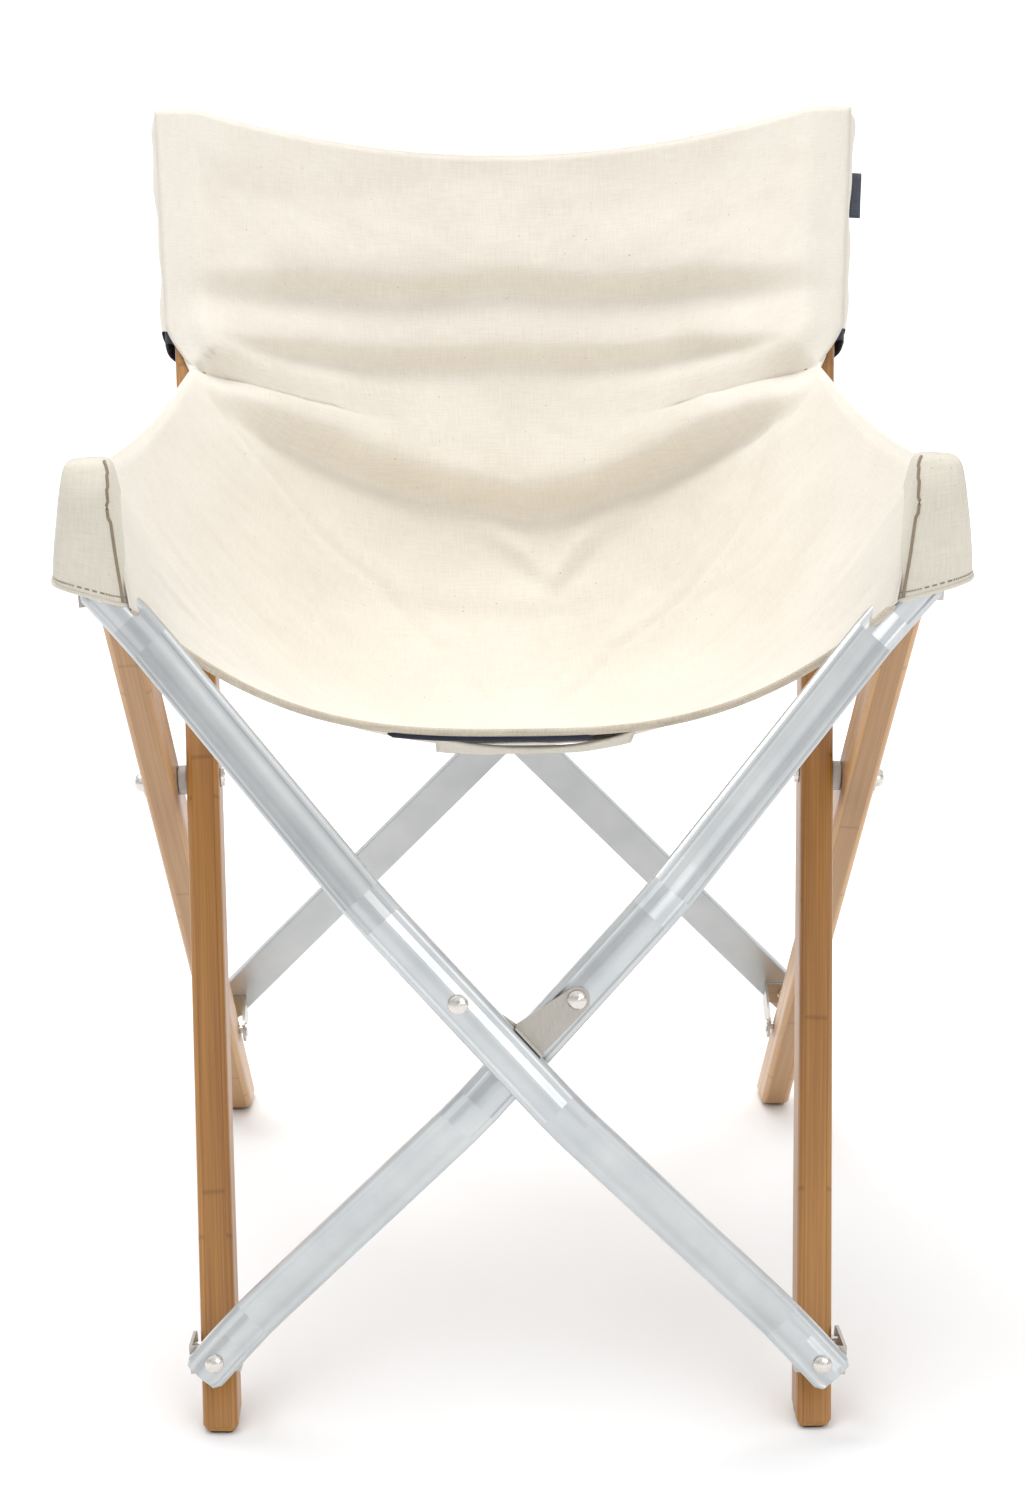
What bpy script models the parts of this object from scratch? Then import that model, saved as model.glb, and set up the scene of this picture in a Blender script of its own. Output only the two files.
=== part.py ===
"""Folding camp chair: bamboo side frames, aluminium cross channels and a canvas sling.

Run with: blender --background --python part.py
Metres, +Z up, the sitter faces -Y. Each side frame is a scissor of two bamboo legs in a plane
that leans out a little. Two channels cross in front and two behind, and pull the sides apart.
"""
import math

import bmesh
import bpy
from mathutils import Matrix, Vector

# Bamboo legs
LEG_THICK = 0.0225          # across the chair
LEG_DEPTH = 0.034           # in the plane of the side frame
LEG_ROUND = 0.0045          # rounding of the four long edges
FOOT_HALF = 0.189           # half the distance between the long legs at the ground
LEAN = math.radians(3.53)   # how far each side frame leans out
SPACER = 0.0068             # gap between the long and the short leg at the side pivot
PLY_STEP = LEG_THICK + SPACER
LONG_ANGLE = math.radians(53.75)
POST_ANGLE = math.radians(69.25)
LONG_LENGTH = 0.962
POST_BEND_AT = 0.755        # distance along the long leg where the back post starts to turn up
POST_BEND_LENGTH = 0.080
SHORT_ANGLE = math.radians(43.8)
SHORT_LENGTH = 0.880
REAR_FOOT_Y = 0.6445
CENTRE_Y = 0.2761           # moves the whole chair so that it stands about the origin

# Pins near the leg ends
FRONT_LOW_AT = 0.050        # along the long leg from its foot
REAR_LOW_AT = 0.115         # along the short leg from its foot
FRONT_PIN_SHIFT = 0.009     # pin centre in front of the leg's centre line
REAR_PIN_SHIFT = 0.009      # pin centre behind the leg's centre line
FOLDED_SUM = 0.116          # half widths of both ends of a channel, added up, when folded
FOLDED_PIVOT = math.radians(163)

# Brackets, pins and rivets
WEB_FRONT = 0.0305          # pin centre to the inner face of a front bracket's web
WEB_REAR = 0.0335
SHEET = 0.002
EAR_GAP = 0.0028            # between a bracket ear and the bamboo
STUD_BACK = 0.0026          # an upper stud stops this far from the bamboo
EAR_HALF = 0.009
EAR_PAST_PIN = 0.008
PIN_R = 0.003
RIVET_R = 0.0025
RIVET_HEAD_R = 0.0062
HOLE_PLAY = 0.0003

# Aluminium channels
CHANNEL_WIDE = 0.028
CHANNEL_DEEP = 0.011
SHOULDER = 0.0034           # rounding of a channel's two long front edges
FLUTE = 0.0016              # depth of the two flutes below the ridge between them
CHANNEL_LAP_LOW = 0.013     # past the end rivet
CHANNEL_LAP_HIGH = 0.0085
CHANNEL_STEP = 0.0135       # channel A lies this much further out than channel B
FRONT_BOW = 0.095
BOW_FLAT = 0.075            # half length of the flat middle of a bowed channel
BOW_SHIFT = 0.045           # middle of the flat stretch, above the crossing
LINK_HALF = 0.0355          # half the distance between the two link rivets
LINK_SHEET = 0.0018
LINK_END_R = 0.0080         # rounding of the link plate's two ends
STOP_HIGH = 0.034           # ends of the turned-up edge, below link rivet a
STOP_LOW = 0.058
STOP_RISE = 0.0085          # how far the turned-up edge stands out

# Canvas
CLOTH = 0.0024
SLEEVE_WALL = 0.0018
SLEEVE_GAP = 0.0009
GAP = 0.0004

MATERIALS = {
    "bamboo_long": ((0.46, 0.22, 0.075), 0.38, 0.0),
    "bamboo_short": ((0.58, 0.38, 0.22), 0.42, 0.0),
    "aluminium": ((0.72, 0.74, 0.74), 0.32, 1.0),
    "steel": ((0.55, 0.54, 0.52), 0.35, 1.0),
    "rivet_steel": ((0.74, 0.73, 0.70), 0.22, 1.0),
    "spacer_plastic": ((0.78, 0.77, 0.74), 0.45, 0.0),
    "glide_plastic": ((0.10, 0.10, 0.10), 0.6, 0.0),
    "canvas": ((0.88, 0.84, 0.76), 0.9, 0.0),
    "tag_fabric": ((0.62, 0.60, 0.56), 0.85, 0.0),
}


def clear_scene():
    for item in list(bpy.data.objects):
        bpy.data.objects.remove(item)


def make_material(name):
    colour, roughness, metallic = MATERIALS[name]
    material = bpy.data.materials.get(name) or bpy.data.materials.new(name)
    material.use_nodes = True
    shader = material.node_tree.nodes["Principled BSDF"]
    shader.inputs["Base Color"].default_value = (*colour, 1.0)
    shader.inputs["Roughness"].default_value = roughness
    shader.inputs["Metallic"].default_value = metallic
    material.diffuse_color = (*colour, 1.0)
    return material


def make_object(name, bm, material, origin):
    """Turns a bmesh in world coordinates into an object whose origin is on its joint."""
    bmesh.ops.recalc_face_normals(bm, faces=bm.faces)
    bmesh.ops.translate(bm, vec=-origin, verts=bm.verts)
    mesh = bpy.data.meshes.new(name)
    bm.to_mesh(mesh)
    bm.free()
    item = bpy.data.objects.new(name, mesh)
    item.location = origin
    item.data.materials.append(make_material(material))
    bpy.context.scene.collection.objects.link(item)
    return item


def loft(rings):
    """A closed solid through rings of equal length, with a flat face on each end."""
    bm = bmesh.new()
    rows = [[bm.verts.new(point) for point in ring] for ring in rings]
    count = len(rows[0])
    for low, high in zip(rows, rows[1:]):
        for i in range(count):
            j = (i + 1) % count
            bm.faces.new((low[i], low[j], high[j], high[i]))
    bm.faces.new(rows[0])
    bm.faces.new(rows[-1])
    return bm


def sheet_solid(grid, thickness):
    """A closed shell: a grid of points, and the same grid moved along its normals."""
    rows = len(grid)
    columns = len(grid[0])
    other = []
    for i in range(rows):
        line = []
        for j in range(columns):
            along = grid[min(i + 1, rows - 1)][j] - grid[max(i - 1, 0)][j]
            across = grid[i][min(j + 1, columns - 1)] - grid[i][max(j - 1, 0)]
            line.append(grid[i][j] + along.cross(across).normalized() * thickness)
        other.append(line)
    bm = bmesh.new()
    front = [[bm.verts.new(p) for p in row] for row in grid]
    back = [[bm.verts.new(p) for p in row] for row in other]
    for i in range(rows - 1):
        for j in range(columns - 1):
            bm.faces.new((front[i][j], front[i][j + 1], front[i + 1][j + 1], front[i + 1][j]))
            bm.faces.new((back[i][j], back[i + 1][j], back[i + 1][j + 1], back[i][j + 1]))
    rim = [(0, j) for j in range(columns - 1)]
    rim += [(i, columns - 1) for i in range(rows - 1)]
    rim += [(rows - 1, j) for j in range(columns - 1, 0, -1)]
    rim += [(i, 0) for i in range(rows - 1, 0, -1)]
    for (a, b), (c, d) in zip(rim, rim[1:] + rim[:1]):
        bm.faces.new((front[a][b], front[c][d], back[c][d], back[a][b]))
    return bm


def rounded_rectangle(width, height, radius, steps=3):
    points = []
    corners = ((1, 1, 0), (-1, 1, 90), (-1, -1, 180), (1, -1, 270))
    for sx, sy, start in corners:
        for k in range(steps + 1):
            angle = math.radians(start + 90 * k / steps)
            x = sx * (width / 2 - radius) + radius * math.cos(angle)
            y = sy * (height / 2 - radius) + radius * math.sin(angle)
            points.append((x, y))
    return points


def turned(centre, axis, profile, segments=24):
    """A turned solid: profile is a list of (radius, distance along the axis)."""
    axis = axis.normalized()
    side = axis.orthogonal().normalized()
    other = axis.cross(side)
    rings = []
    for radius, along in profile:
        ring = []
        for k in range(segments):
            angle = 2 * math.pi * k / segments
            spoke = side * math.cos(angle) + other * math.sin(angle)
            ring.append(centre + axis * along + spoke * radius)
        rings.append(ring)
    return loft(rings)


def cut(item, cutter_bm, operation="DIFFERENCE"):
    """Cuts with the exact solver and keeps the result as the object's own mesh."""
    mesh = bpy.data.meshes.new("cutter")
    bmesh.ops.recalc_face_normals(cutter_bm, faces=cutter_bm.faces)
    cutter_bm.to_mesh(mesh)
    cutter_bm.free()
    cutter = bpy.data.objects.new("cutter", mesh)
    cutter.hide_render = True
    cutter.display_type = "WIRE"
    bpy.context.scene.collection.objects.link(cutter)
    modifier = item.modifiers.new("cut", "BOOLEAN")
    modifier.operation = operation
    modifier.solver = "EXACT"
    modifier.object = cutter
    bpy.context.view_layer.update()
    depsgraph = bpy.context.evaluated_depsgraph_get()
    result = bpy.data.meshes.new_from_object(item.evaluated_get(depsgraph))
    item.modifiers.clear()
    item.data = result
    result.name = item.name
    bpy.data.objects.remove(cutter)


def drill(item, centre, axis, radius, reach=0.06):
    cut(item, turned(centre, axis, [(radius, -reach), (radius, reach)], 20))


# ---------------------------------------------------------------- side frame layout

def frame_point(side, y, up, out):
    """A point of a side frame: y back, up along its plane, out from the long leg's plane."""
    x = FOOT_HALF + up * math.sin(LEAN) + out * math.cos(LEAN)
    z = up * math.cos(LEAN) - out * math.sin(LEAN)
    return Vector((side * x, y - CENTRE_Y, z))


def frame_out(side):
    return Vector((side * math.cos(LEAN), 0, -math.sin(LEAN)))


def long_line(s):
    """Centre line of the long leg: its place (y, up) and its angle at the distance s."""
    y, up, angle = 0.0, 0.0, LONG_ANGLE
    straight = min(s, POST_BEND_AT)
    y += straight * math.cos(LONG_ANGLE)
    up += straight * math.sin(LONG_ANGLE)
    if s > POST_BEND_AT:
        turn = POST_ANGLE - LONG_ANGLE
        radius = POST_BEND_LENGTH / turn
        bent = min(s - POST_BEND_AT, POST_BEND_LENGTH)
        angle = LONG_ANGLE + bent / radius
        y += radius * (math.sin(angle) - math.sin(LONG_ANGLE))
        up += radius * (math.cos(LONG_ANGLE) - math.cos(angle))
        rest = max(s - POST_BEND_AT - POST_BEND_LENGTH, 0.0)
        y += rest * math.cos(angle)
        up += rest * math.sin(angle)
    return y, up, angle


def short_line(s):
    """Centre line of the short leg, which climbs towards the front."""
    return REAR_FOOT_Y - s * math.cos(SHORT_ANGLE), s * math.sin(SHORT_ANGLE), SHORT_ANGLE


def long_pin(s, shift):
    y, up, angle = long_line(s)
    return y - shift * math.sin(angle), up + shift * math.cos(angle)


def short_pin(s, shift):
    y, up, angle = short_line(s)
    return y - shift * math.sin(angle), up - shift * math.cos(angle)


def side_pivot():
    """Where the two centre lines meet, with its distance along each leg."""
    slope = 1 / math.tan(LONG_ANGLE) + 1 / math.tan(SHORT_ANGLE)
    up = REAR_FOOT_Y / slope
    return up / math.tan(LONG_ANGLE), up, up / math.sin(LONG_ANGLE), up / math.sin(SHORT_ANGLE)


PIVOT_Y, PIVOT_UP, PIVOT_ON_LONG, PIVOT_ON_SHORT = side_pivot()


def distance(a, b):
    return math.hypot(a[0] - b[0], a[1] - b[1])


def half_width(up, out):
    return frame_point(1, 0, up, out).x


def closure_error(low, low_out, high, high_out):
    """Channel length open minus channel length folded, for one pair of end pins."""
    pivot = (PIVOT_Y, PIVOT_UP)
    below = distance(low, pivot)
    above = distance(high, pivot)
    open_sum = half_width(low[1], low_out) + half_width(high[1], high_out)
    open_sq = distance(low, high) ** 2 + open_sum ** 2
    folded_sq = below ** 2 + above ** 2 - 2 * below * above * math.cos(FOLDED_PIVOT)
    return open_sq - folded_sq - FOLDED_SUM ** 2


def find_upper_pin(pin, low, low_out, high_out, start, end):
    """Halves the interval until the channel fits both the open and the folded chair."""
    low_value = closure_error(low, low_out, pin(start), high_out)
    for _ in range(50):
        middle = (start + end) / 2
        value = closure_error(low, low_out, pin(middle), high_out)
        if (value > 0) == (low_value > 0):
            start = middle
        else:
            end = middle
    return (start + end) / 2


FRONT_LOW = long_pin(FRONT_LOW_AT, FRONT_PIN_SHIFT)
REAR_LOW = short_pin(REAR_LOW_AT, -REAR_PIN_SHIFT)
FRONT_HIGH_AT = find_upper_pin(lambda s: short_pin(s, FRONT_PIN_SHIFT), FRONT_LOW, 0.0,
                               PLY_STEP, PIVOT_ON_SHORT + 0.1, PIVOT_ON_SHORT + 0.45)
REAR_HIGH_AT = find_upper_pin(lambda s: long_pin(s, -REAR_PIN_SHIFT), REAR_LOW, PLY_STEP,
                              0.0, PIVOT_ON_LONG + 0.1, POST_BEND_AT)
FRONT_HIGH = short_pin(FRONT_HIGH_AT, FRONT_PIN_SHIFT)
REAR_HIGH = long_pin(REAR_HIGH_AT, -REAR_PIN_SHIFT)


class Cross:
    """The plane of one pair of crossing channels, front or rear."""

    def __init__(self, low, low_out, high, high_out, facing, web, bow, link_half):
        self.low = frame_point(1, *low, low_out)
        self.high = frame_point(1, *high, high_out)
        rise = self.high - self.low
        rise.x = 0
        self.rise = rise.length
        self.up = rise.normalized()
        self.facing = (self.up.cross(Vector((1, 0, 0))) * facing).normalized()
        if self.facing.y * facing > 0:
            self.facing.negate()
        self.web = web
        self.bow = bow
        self.link_half = link_half
        self.sum = self.low.x + self.high.x
        self.angle = math.atan2(self.sum, self.rise)
        self.length = math.hypot(self.sum, self.rise)
        self.crossing_at = self.length * self.low.x / self.sum
        self.link_at = self.length * (self.low.x + link_half) / self.sum

    def step(self, letter):
        return CHANNEL_STEP if letter == "a" else 0.0

    def pin(self, side, high):
        point = self.high if high else self.low
        return Vector((side * point.x, point.y, point.z))

    def along(self, letter, distance_up):
        """A point of the straight line between a channel's end pins, from the low end up.

        Channel a runs from the right foot up to the left arm, channel b the other way.
        """
        side = 1 if letter == "a" else -1
        start = self.pin(side, False)
        end = self.pin(-side, True)
        return start.lerp(end, distance_up / self.length)

    def direction(self, letter):
        return (self.along(letter, self.length) - self.along(letter, 0)).normalized()

    def lift(self, distance_up):
        """How far the bowed middle stands out: flat ends, a straight ramp, a flat middle."""
        middle = self.crossing_at + BOW_SHIFT
        ends = (-middle, self.length - middle)
        place = distance_up - middle
        reach = abs(ends[0] if place < 0 else ends[1]) - 0.022
        share = (abs(place) - BOW_FLAT) / (reach - BOW_FLAT)
        share = min(max(share, 0.0), 1.0)
        blend = 0.12
        if share < blend:
            fall = share * share / (2 * blend * (1 - blend))
        elif share > 1 - blend:
            fall = 1 - (1 - share) ** 2 / (2 * blend * (1 - blend))
        else:
            fall = (share - blend / 2) / (1 - blend)
        return self.bow * (1 - fall)

    def back_of(self, letter, distance_up):
        """Distance from the pin plane to the channel's back face."""
        return self.web + SHEET + GAP + self.step(letter) + self.lift(distance_up)


FRONT = Cross(FRONT_LOW, 0.0, FRONT_HIGH, PLY_STEP, 1, WEB_FRONT, FRONT_BOW, LINK_HALF)
REAR = Cross(REAR_LOW, PLY_STEP, REAR_HIGH, 0.0, -1, WEB_REAR, 0.0, 0.0)


# ---------------------------------------------------------------- bamboo legs

def leg_ring(side, line, s, facing, out, scale=1.0, floor=None):
    """One section of a leg; with a floor height the section is slid down onto it."""
    y, up, angle = line(s)
    travel = (facing * math.cos(angle), math.sin(angle))
    normal = (-facing * math.sin(angle), math.cos(angle))
    ring = []
    for depth, thick in rounded_rectangle(LEG_DEPTH, LEG_THICK, LEG_ROUND):
        depth *= scale
        thick *= scale
        py = y + normal[0] * depth
        pu = up + normal[1] * depth
        point = frame_point(side, py, pu, out + thick)
        if floor is not None:
            slope = travel[1] * math.cos(LEAN)
            move = (floor - point.z) / slope
            point = frame_point(side, py + travel[0] * move, pu + travel[1] * move, out + thick)
        ring.append(point)
    return ring


def make_leg(name, side, line, length, facing, out, material, stations):
    foot = GLIDE + GAP
    rings = [leg_ring(side, line, 0.0, facing, out, 0.86, foot)]
    rings.append(leg_ring(side, line, 0.0, facing, out, 1.0, foot + 0.003))
    for s in stations:
        rings.append(leg_ring(side, line, s, facing, out))
    rings.append(leg_ring(side, line, length - 0.004, facing, out))
    rings.append(leg_ring(side, line, length, facing, out, 0.80))
    pivot = frame_point(side, PIVOT_Y, PIVOT_UP, out)
    leg = make_object(name, loft(rings), material, pivot)
    drill(leg, pivot, frame_out(side), 0.0035 + HOLE_PLAY)
    return leg


GLIDE = 0.0018


def make_glide(name, side, line, facing, out):
    low = leg_ring(side, line, 0.0, facing, out, 0.66, 0.0)
    high = leg_ring(side, line, 0.0, facing, out, 0.78, GLIDE)
    centre = sum(low, Vector()) / len(low)
    make_object(name, loft([low, high]), "glide_plastic", centre)


def make_legs(side, word):
    bend = [POST_BEND_AT + POST_BEND_LENGTH * k / 6 for k in range(7)]
    long_leg = make_leg(f"{word}_long_leg", side, long_line, LONG_LENGTH, 1, 0.0,
                        "bamboo_long", [0.06, 0.25, 0.5] + bend)
    short_leg = make_leg(f"{word}_short_leg", side, short_line, SHORT_LENGTH, -1, PLY_STEP,
                         "bamboo_short", [0.06, 0.3, 0.6])
    make_glide(f"{word}_front_glide", side, long_line, 1, 0.0)
    make_glide(f"{word}_rear_glide", side, short_line, -1, PLY_STEP)
    drill(long_leg, FRONT.pin(side, False), frame_out(side), PIN_R + HOLE_PLAY, 0.02)
    drill(short_leg, REAR.pin(side, False), frame_out(side), PIN_R + HOLE_PLAY, 0.02)


def make_side_pivot(side, word):
    """Bolt with its head inside, a spacer ring between the legs, and a dome nut outside."""
    out = frame_out(side)
    centre = frame_point(side, PIVOT_Y, PIVOT_UP, 0.0)
    inner = -LEG_THICK / 2 - GAP
    outer = PLY_STEP + LEG_THICK / 2 + GAP
    head = [(0.0035, inner - 0.0030), (0.0060, inner - 0.0022), (0.0068, inner)]
    shank = [(0.0035, inner), (0.0035, outer + 0.0045)]
    make_object(f"{word}_side_bolt", turned(centre, out, head + shank), "rivet_steel", centre)
    spacer = make_object(f"{word}_side_spacer",
                         turned(centre, out, [(0.0098, LEG_THICK / 2 + GAP),
                                              (0.0102, LEG_THICK / 2 + 0.0012),
                                              (0.0102, LEG_THICK / 2 + SPACER - 0.0012),
                                              (0.0098, LEG_THICK / 2 + SPACER - GAP)], 32),
                         "spacer_plastic", centre)
    drill(spacer, centre, out, 0.0035 + HOLE_PLAY)
    dome = [(0.0098, outer), (0.0098, outer + 0.0012), (0.0066, outer + 0.0014),
            (0.0064, outer + 0.0040), (0.0050, outer + 0.0064), (0.0022, outer + 0.0078)]
    nut = make_object(f"{word}_side_dome_nut", turned(centre, out, dome, 28), "rivet_steel", centre)
    cut(nut, turned(centre, out, [(0.0038, outer - 0.01), (0.0038, outer + 0.0050)], 20))


# ---------------------------------------------------------------- channels and their ends

def channel_outline():
    """Half section mirrored: flat back, round shoulders and a soft flute either side of a ridge."""
    wide = CHANNEL_WIDE / 2
    half = [(0.0105, 0.0), (wide - 0.0008, 0.0), (wide, 0.0010)]
    for k in range(5):
        angle = math.radians(90 * k / 4)
        half.append((wide - SHOULDER + SHOULDER * math.cos(angle),
                     CHANNEL_DEEP - FLUTE - SHOULDER + SHOULDER * math.sin(angle)))
    for k in range(1, 7):
        share = k / 7
        half.append(((wide - SHOULDER) * (1 - share),
                     CHANNEL_DEEP - FLUTE * math.cos(math.pi * share / 2) ** 3
                     * (1 + 0.6 * math.sin(math.pi * share))))
    mirrored = [(-x, d) for x, d in reversed(half)]
    return half + [(0.0, CHANNEL_DEEP)] + mirrored


def make_channel(name, cross, letter):
    travel = cross.direction(letter)
    across = travel.cross(cross.facing).normalized()
    start = -CHANNEL_LAP_LOW
    end = cross.length + CHANNEL_LAP_HIGH
    stations = [start, start + 0.004]
    steps = 34 if cross.bow else 6
    inner_start = start + 0.012
    inner_end = end - 0.012
    for k in range(steps + 1):
        stations.append(inner_start + (inner_end - inner_start) * k / steps)
    stations += [end - 0.004, end]
    outline = channel_outline()
    rings = []
    for s in stations:
        narrow = 0.82 if s in (start, end) else 1.0
        base = cross.along(letter, s)
        level = cross.back_of(letter, s)
        tip = (base + across * (x * narrow) + cross.facing * (level + d) for x, d in outline)
        rings.append(list(tip))
    origin = cross.along(letter, cross.link_at) + cross.facing * cross.back_of(letter, cross.link_at)
    channel = make_object(name, loft(rings), "aluminium", origin)
    holes = [0.0, cross.length, cross.link_at]
    for s in holes:
        drill(channel, cross.along(letter, s), cross.facing, RIVET_R + HOLE_PLAY, 0.2)
    return channel


def rivet_profile(back, front):
    """Tail behind the stack, shank through it, and a domed head in front."""
    dome = []
    for k in range(5):
        angle = math.radians(82 * k / 4)
        dome.append((RIVET_HEAD_R * math.cos(angle), front + 0.0030 * math.sin(angle)))
    tail = [(0.0036, back - 0.0012), (0.0042, back - 0.0006), (0.0042, back)]
    return tail + [(RIVET_R, back), (RIVET_R, front)] + dome


def make_bracket(name, cross, side, high, letter):
    """A pressed U: the web under the channel end, two ears either side of the bamboo."""
    pin = cross.pin(side, high)
    out = frame_out(side)
    facing = (cross.facing - out * cross.facing.dot(out)).normalized()
    rise = out.cross(facing).normalized()
    web = cross.web + cross.step(letter)
    inner = LEG_THICK / 2 + EAR_GAP
    outer = inner + SHEET
    shape = [(-outer, -EAR_PAST_PIN), (-outer, web + SHEET), (outer, web + SHEET),
             (outer, -EAR_PAST_PIN), (inner, -EAR_PAST_PIN), (inner, web), (-inner, web),
             (-inner, -EAR_PAST_PIN)]
    rings = []
    for reach in (-EAR_HALF, EAR_HALF):
        rings.append([pin + out * x + facing * d + rise * reach for x, d in shape])
    bm = loft(rings)
    bm.edges.ensure_lookup_table()
    tips = []
    for edge in bm.edges:
        a, b = (v.co - pin for v in edge.verts)
        at_tip = max(a.dot(facing), b.dot(facing)) < -EAR_PAST_PIN + 1e-6
        if at_tip and abs((a - b).normalized().dot(out)) > 0.9:
            tips.append(edge)
    bmesh.ops.bevel(bm, geom=tips, offset=0.0068, segments=5, profile=0.5, affect="EDGES")
    bracket = make_object(name, bm, "steel", pin)
    drill(bracket, pin, out, PIN_R + HOLE_PLAY, 0.03)
    drill(bracket, pin + cross.facing * web, cross.facing, RIVET_R + HOLE_PLAY, 0.008)
    return bracket


def make_pins(stem, cross, side, high):
    """A lower pin goes right through. An upper pin is two studs that stop just short of the bamboo.

    The upper pins close the folding linkage, so they are the ones that need play.
    """
    pin = cross.pin(side, high)
    outer = LEG_THICK / 2 + EAR_GAP + SHEET + GAP
    inner = LEG_THICK / 2 + STUD_BACK
    out = frame_out(side)
    tail = [(PIN_R, outer), (0.0052, outer), (0.0052, outer + 0.0010), (0.0036, outer + 0.0016)]
    if high:
        stud = [(PIN_R, inner)] + tail
        for word, way in (("outer", 1), ("inner", -1)):
            make_object(f"{stem}_{word}_stud", turned(pin, out * way, stud, 20), "rivet_steel", pin)
    else:
        head = [(radius, -along) for radius, along in reversed(tail)]
        make_object(f"{stem}_pin", turned(pin, out, head + tail, 20), "rivet_steel", pin)


def make_cross(cross, place):
    for letter in "ab":
        make_channel(f"{place}_channel_{letter}", cross, letter)
        for high in (False, True):
            side = 1 if (letter == "a") != high else -1
            word = "right" if side > 0 else "left"
            level = "upper" if high else "lower"
            stem = f"{word}_{place}_{level}"
            make_bracket(f"{stem}_bracket", cross, side, high, letter)
            make_pins(stem, cross, side, high)
            end = cross.pin(side, high)
            web = cross.web + cross.step(letter)
            face = web + SHEET + GAP + CHANNEL_DEEP + GAP
            make_object(f"{stem}_rivet", turned(end, cross.facing, rivet_profile(web - GAP, face)),
                        "rivet_steel", end + cross.facing * web)


def make_front_link():
    """Plate between the two front channels, with a turned-up edge that stops the opening."""
    cross = FRONT
    level = cross.back_of("a", cross.link_at) - GAP - LINK_SHEET
    crossing = cross.along("a", cross.crossing_at)
    across = Vector((1, 0, 0))
    height = cross.link_half / math.tan(cross.angle)
    travel = Vector((-math.sin(cross.angle), math.cos(cross.angle)))
    square = Vector((travel.y, -travel.x))
    link = Vector((-cross.link_half, height))
    stop_from = CHANNEL_WIDE / 2 + GAP
    stop_to = stop_from + LINK_SHEET

    def place(below, aside):
        return link - travel * below + square * aside

    def end(side, first, last):
        points = []
        for k in range(9):
            angle = math.radians(first + (last - first) * k / 8)
            points.append(Vector((side * cross.link_half + LINK_END_R * math.cos(angle),
                                  height + LINK_END_R * math.sin(angle))))
        return points

    outline = [place(STOP_LOW, stop_to)] + end(1, -45, 135) + [place(STOP_HIGH, stop_to)]
    outline += end(-1, 45, 225) + [place(STOP_LOW, -0.006)]
    rings = []
    for depth in (level, level + LINK_SHEET):
        rings.append([crossing + across * p.x + cross.up * p.y + cross.facing * depth
                      for p in outline])
    plate = make_object("front_link_plate", loft(rings), "steel",
                        crossing + cross.facing * level)
    inset = 0.0003
    edge = [place(STOP_HIGH + inset, stop_from), place(STOP_HIGH + inset, stop_to - inset),
            place(STOP_LOW - inset, stop_to - inset), place(STOP_LOW - inset, stop_from)]
    rings = []
    for depth in (level + 0.0005, level + LINK_SHEET + STOP_RISE):
        rings.append([crossing + across * p.x + cross.up * p.y + cross.facing * depth for p in edge])
    cut(plate, loft(rings), "UNION")
    for letter, front in (("a", cross.back_of("a", cross.link_at) + CHANNEL_DEEP + GAP),
                          ("b", level + LINK_SHEET + GAP)):
        centre = cross.along(letter, cross.link_at)
        drill(plate, centre, cross.facing, RIVET_R + HOLE_PLAY, 0.2)
        back = level - GAP if letter == "a" else cross.back_of("b", cross.link_at) - GAP
        make_object(f"front_link_rivet_{letter}",
                    turned(centre, cross.facing, rivet_profile(back, front)),
                    "rivet_steel", centre + cross.facing * level)


def make_rear_pivot():
    cross = REAR
    centre = cross.along("a", cross.crossing_at)
    gap_low = cross.back_of("b", cross.crossing_at) + CHANNEL_DEEP + GAP
    gap_high = cross.back_of("a", cross.crossing_at) - GAP
    front = cross.back_of("a", cross.crossing_at) + CHANNEL_DEEP + GAP
    head = rivet_profile(gap_high, front)[3:]
    profile = [(0.0075, gap_low), (0.0080, gap_low + 0.0004), (0.0080, gap_high)] + head
    make_object("rear_pivot_rivet", turned(centre, cross.facing, profile), "rivet_steel",
                centre + cross.facing * gap_low)


# ---------------------------------------------------------------- canvas

WAIST_AT = 0.790            # along the long leg: lower edge of the sleeve on the back post
SLEEVE_TOP = LONG_LENGTH + 0.004
POCKET_FROM = 0.848         # along the short leg: lower edge of the arm pocket
HEM_END_AT = 0.782          # along the short leg: where the front hem meets the arm
POCKET_TO = SHORT_LENGTH + 0.004
ARM_OUT = PLY_STEP - LEG_THICK / 2 - 0.0050
POST_IN = -LEG_THICK / 2 - 0.0040


def bag_ring(side, line, s, facing, out, depth, low, high):
    """A section across a sleeve: depth in the side plane, from low to high across the chair."""
    y, up, angle = line(s)
    normal = (-facing * math.sin(angle), math.cos(angle))
    ring = []
    for d, t in rounded_rectangle(depth, high - low, 0.005):
        ring.append(frame_point(side, y + normal[0] * d, up + normal[1] * d,
                                out + (low + high) / 2 + t))
    return ring


def make_bag(name, side, line, start, end, facing, out, inside, wall):
    """A fabric tube closed at its far end: the outer skin minus the hollow for the leg."""
    depth, low, high = inside
    stations = [start + (end - start) * k / 12 for k in range(13)]
    outer = [bag_ring(side, line, s, facing, out, depth + 2 * wall, low - wall, high + wall)
             for s in stations]
    outer.append(bag_ring(side, line, end + wall, facing, out, depth, low, high))
    origin = frame_point(side, *line(start)[:2], out)
    bag = make_object(name, loft(outer), "canvas", origin)
    stations[0] -= 0.01
    hollow = [bag_ring(side, line, s, facing, out, depth, low, high) for s in stations]
    cut(bag, loft(hollow))
    return bag


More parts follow.
